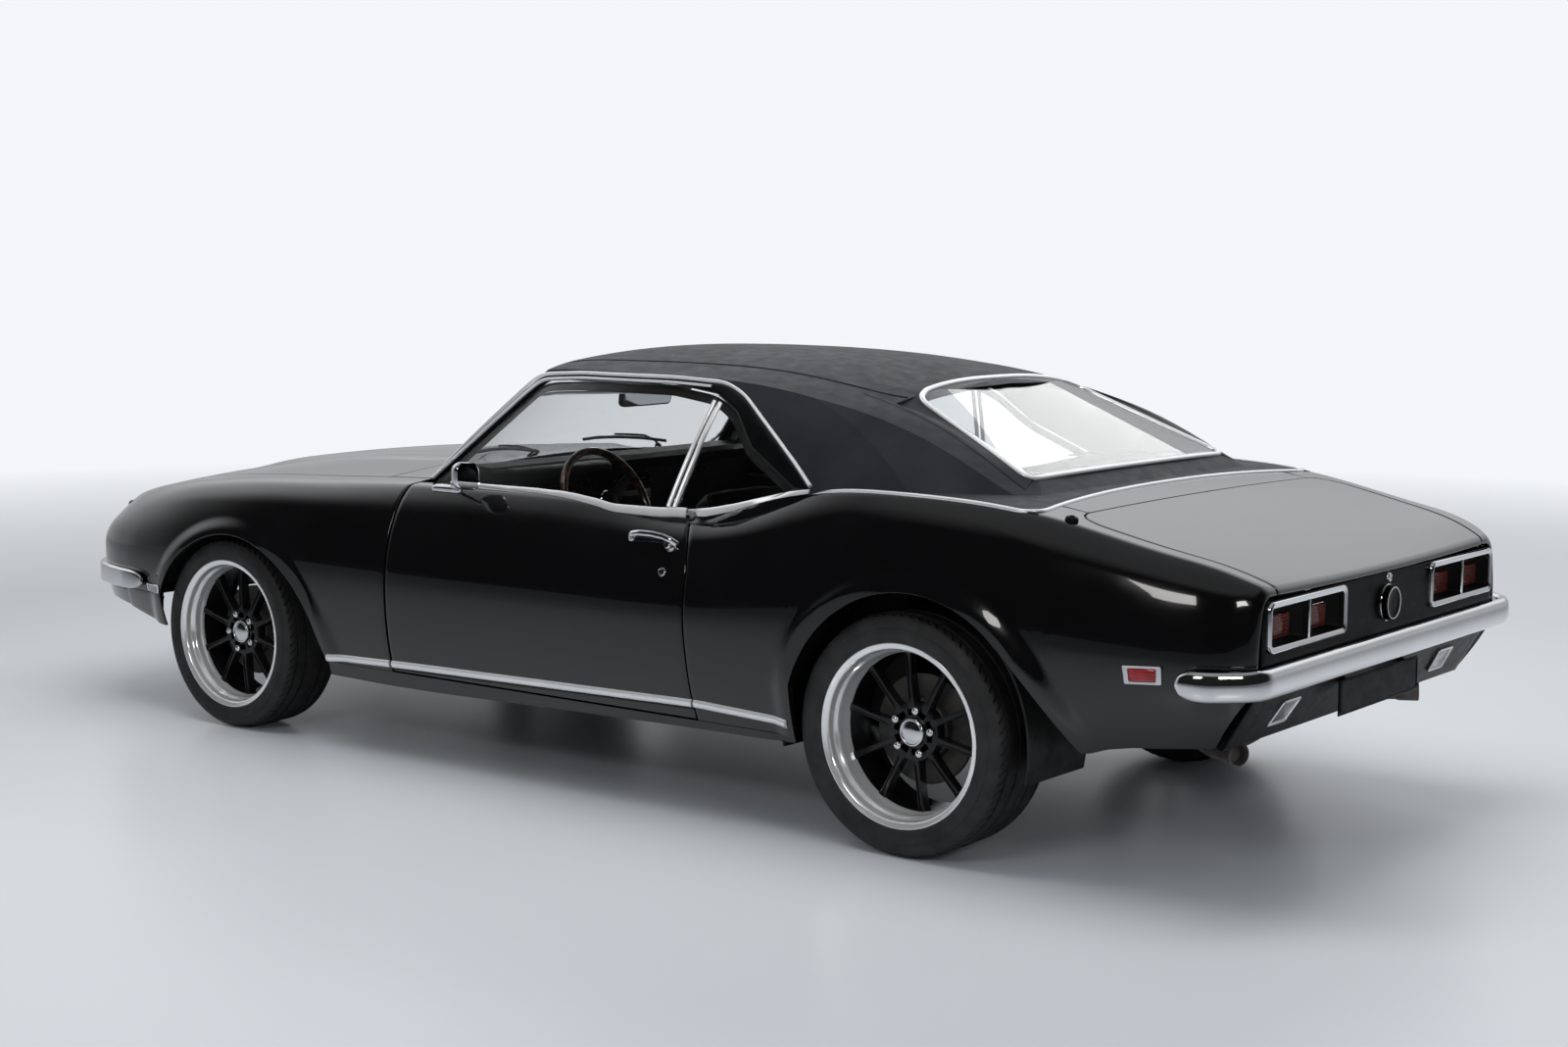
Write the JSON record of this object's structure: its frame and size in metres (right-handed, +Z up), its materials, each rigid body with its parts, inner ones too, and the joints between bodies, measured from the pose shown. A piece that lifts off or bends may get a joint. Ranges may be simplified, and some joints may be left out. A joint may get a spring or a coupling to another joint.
{
  "type": "two-door muscle coupe",
  "caption": "Low two-door hardtop coupe with long hood, short deck and a vinyl roof; doors, lids, steering and wheels move.",
  "frame": {"origin": "on the floor under the middle of the overall box", "axes": "+X to the front of the car, +Y to its left, +Z up"},
  "size_m": [4.691, 1.84, 1.3059],
  "materials": {
    "body_paint": "high gloss black",
    "tail_black": "satin black",
    "roof_vinyl": "grained vinyl",
    "grille_black": "satin",
    "glass": "clear",
    "chrome": "mirror",
    "lamp_red": "red lens",
    "lamp_amber": "amber lens",
    "plate_blank": "blank white",
    "chassis_black": "satin",
    "cast_iron": "cast",
    "engine_iron": "painted cast",
    "exhaust_steel": "brushed",
    "tank_steel": "galvanised",
    "dash_black": "grained",
    "wheel_wood": "varnished",
    "seat_vinyl": "grained vinyl",
    "wheel_alloy": "polished",
    "tyre": "matte"
  },
  "bodies": {
    "root": {"backlight": "glass", "cowl": "body_paint", "dashboard": "dash_black", "engine": "engine_iron", "exhaust": "exhaust_steel", "fender_left": "body_paint", "fender_right": "body_paint", "floor_pan": "chassis_black", "front_bumper": "chrome", "front_seat_left": "seat_vinyl", "front_seat_right": "seat_vinyl", "front_structure": "chassis_black", "front_subframe": "chassis_black", "front_valance": "body_paint", "fuel_tank": "tank_steel", "grille": "grille_black", "header_panel": "body_paint", "number_plate": "plate_blank", "quarter_glass": "glass", "quarter_left": "body_paint", "quarter_right": "body_paint", "rear_axle": "cast_iron", "rear_bench": "seat_vinyl", "rear_bumper": "chrome", "rear_deck": "body_paint", "roof": "roof_vinyl", "signal_lamps": "lamp_amber", "sills": "body_paint", "steering_column": "dash_black", "tail_lamps": "lamp_red", "tail_panel": "tail_black", "windscreen": "glass"},
    "door_left": {"door_left": "body_paint", "door_glass_left": "glass"},
    "door_right": {"door_right": "body_paint", "door_glass_right": "glass"},
    "hood": {"hood": "body_paint"},
    "deck_lid": {"deck_lid": "body_paint"},
    "steer_left": {"knuckle_left": "cast_iron"},
    "steer_right": {"knuckle_right": "cast_iron"},
    "steering_wheel": {"steering_wheel": "wheel_wood"},
    "roll_front_left": {"wheel_front_left": "wheel_alloy", "tyre_front_left": "tyre"},
    "roll_front_right": {"wheel_front_right": "wheel_alloy", "tyre_front_right": "tyre"},
    "roll_rear_left": {"wheel_rear_left": "wheel_alloy", "tyre_rear_left": "tyre"},
    "roll_rear_right": {"wheel_rear_right": "wheel_alloy", "tyre_rear_right": "tyre"}
  },
  "joints": [
    {"name": "door_left_hinge", "type": "hinge", "parent": "root", "child": "door_left", "pos_m": [0.53, 0.88, 0.55], "axis": [0, 0, -1], "range_deg": [0, 62]},
    {"name": "door_right_hinge", "type": "hinge", "parent": "root", "child": "door_right", "pos_m": [0.53, -0.88, 0.55], "axis": [0, 0, 1], "range_deg": [0, 62]},
    {"name": "hood_hinge", "type": "hinge", "parent": "root", "child": "hood", "pos_m": [0.79, 0, 0.921], "axis": [0, -1, 0], "range_deg": [0, 50]},
    {"name": "deck_lid_hinge", "type": "hinge", "parent": "root", "child": "deck_lid", "pos_m": [-1.762, 0, 0.946], "axis": [0, 1, 0], "range_deg": [0, 60]},
    {"name": "steer_left_kingpin", "type": "hinge", "parent": "root", "child": "steer_left", "pos_m": [1.4135, 0.7, 0.319], "axis": [0, 0, 1], "range_deg": [-30, 30]},
    {"name": "steer_right_kingpin", "type": "hinge", "parent": "root", "child": "steer_right", "pos_m": [1.4135, -0.7, 0.319], "axis": [0, 0, 1], "range_deg": [-30, 30]},
    {"name": "steering_wheel_turn", "type": "hinge", "parent": "root", "child": "steering_wheel", "pos_m": [0.15, 0.37, 0.8], "axis": [-0.9063, 0, 0.4226], "range_deg": [-360, 360]},
    {"name": "roll_front_left_spin", "type": "hinge", "parent": "steer_left", "child": "roll_front_left", "pos_m": [1.4135, 0.797, 0.319], "axis": [0, 1, 0], "continuous": true},
    {"name": "roll_rear_left_spin", "type": "hinge", "parent": "root", "child": "roll_rear_left", "pos_m": [-1.3325, 0.795, 0.328], "axis": [0, 1, 0], "continuous": true},
    {"name": "roll_front_right_spin", "type": "hinge", "parent": "steer_right", "child": "roll_front_right", "pos_m": [1.4135, -0.797, 0.319], "axis": [0, 1, 0], "continuous": true},
    {"name": "roll_rear_right_spin", "type": "hinge", "parent": "root", "child": "roll_rear_right", "pos_m": [-1.3325, -0.795, 0.328], "axis": [0, 1, 0], "continuous": true}
  ],
  "couplings": [
    {"joint": "steer_right_kingpin", "follows": "steer_left_kingpin", "ratio": 1},
    {"joint": "steering_wheel_turn", "follows": "steer_left_kingpin", "ratio": 12}
  ]
}
